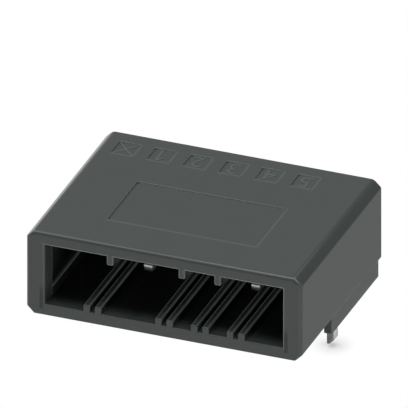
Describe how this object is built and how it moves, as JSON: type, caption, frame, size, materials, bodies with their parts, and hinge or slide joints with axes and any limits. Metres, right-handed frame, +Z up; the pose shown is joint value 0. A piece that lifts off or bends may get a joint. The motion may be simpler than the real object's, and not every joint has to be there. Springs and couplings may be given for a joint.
{
  "type": "pin header",
  "caption": "Right-angle board header: a chamfered plastic shroud with coding ribs and keys, a row of bent tab contacts with solder tails, and metal hold-down legs.",
  "frame": {"origin": "on the board's surface, in the middle of the row of solder tails", "axes": "+X along the row of contacts, -Y towards the plug, +Z up from the board"},
  "size_m": [0.0294, 0.0221, 0.0136],
  "materials": {
    "housing": "dark grey moulded plastic with a fine matt texture",
    "contacts": "tin-plated copper alloy",
    "hold_downs": "tin-plated stamped metal"
  },
  "bodies": {
    "root": {"housing": "housing", "contact_1": "contacts", "contact_2": "contacts", "contact_3": "contacts", "contact_4": "contacts", "contact_5": "contacts", "hold_down_left": "hold_downs", "hold_down_right": "hold_downs"}
  },
  "joints": []
}
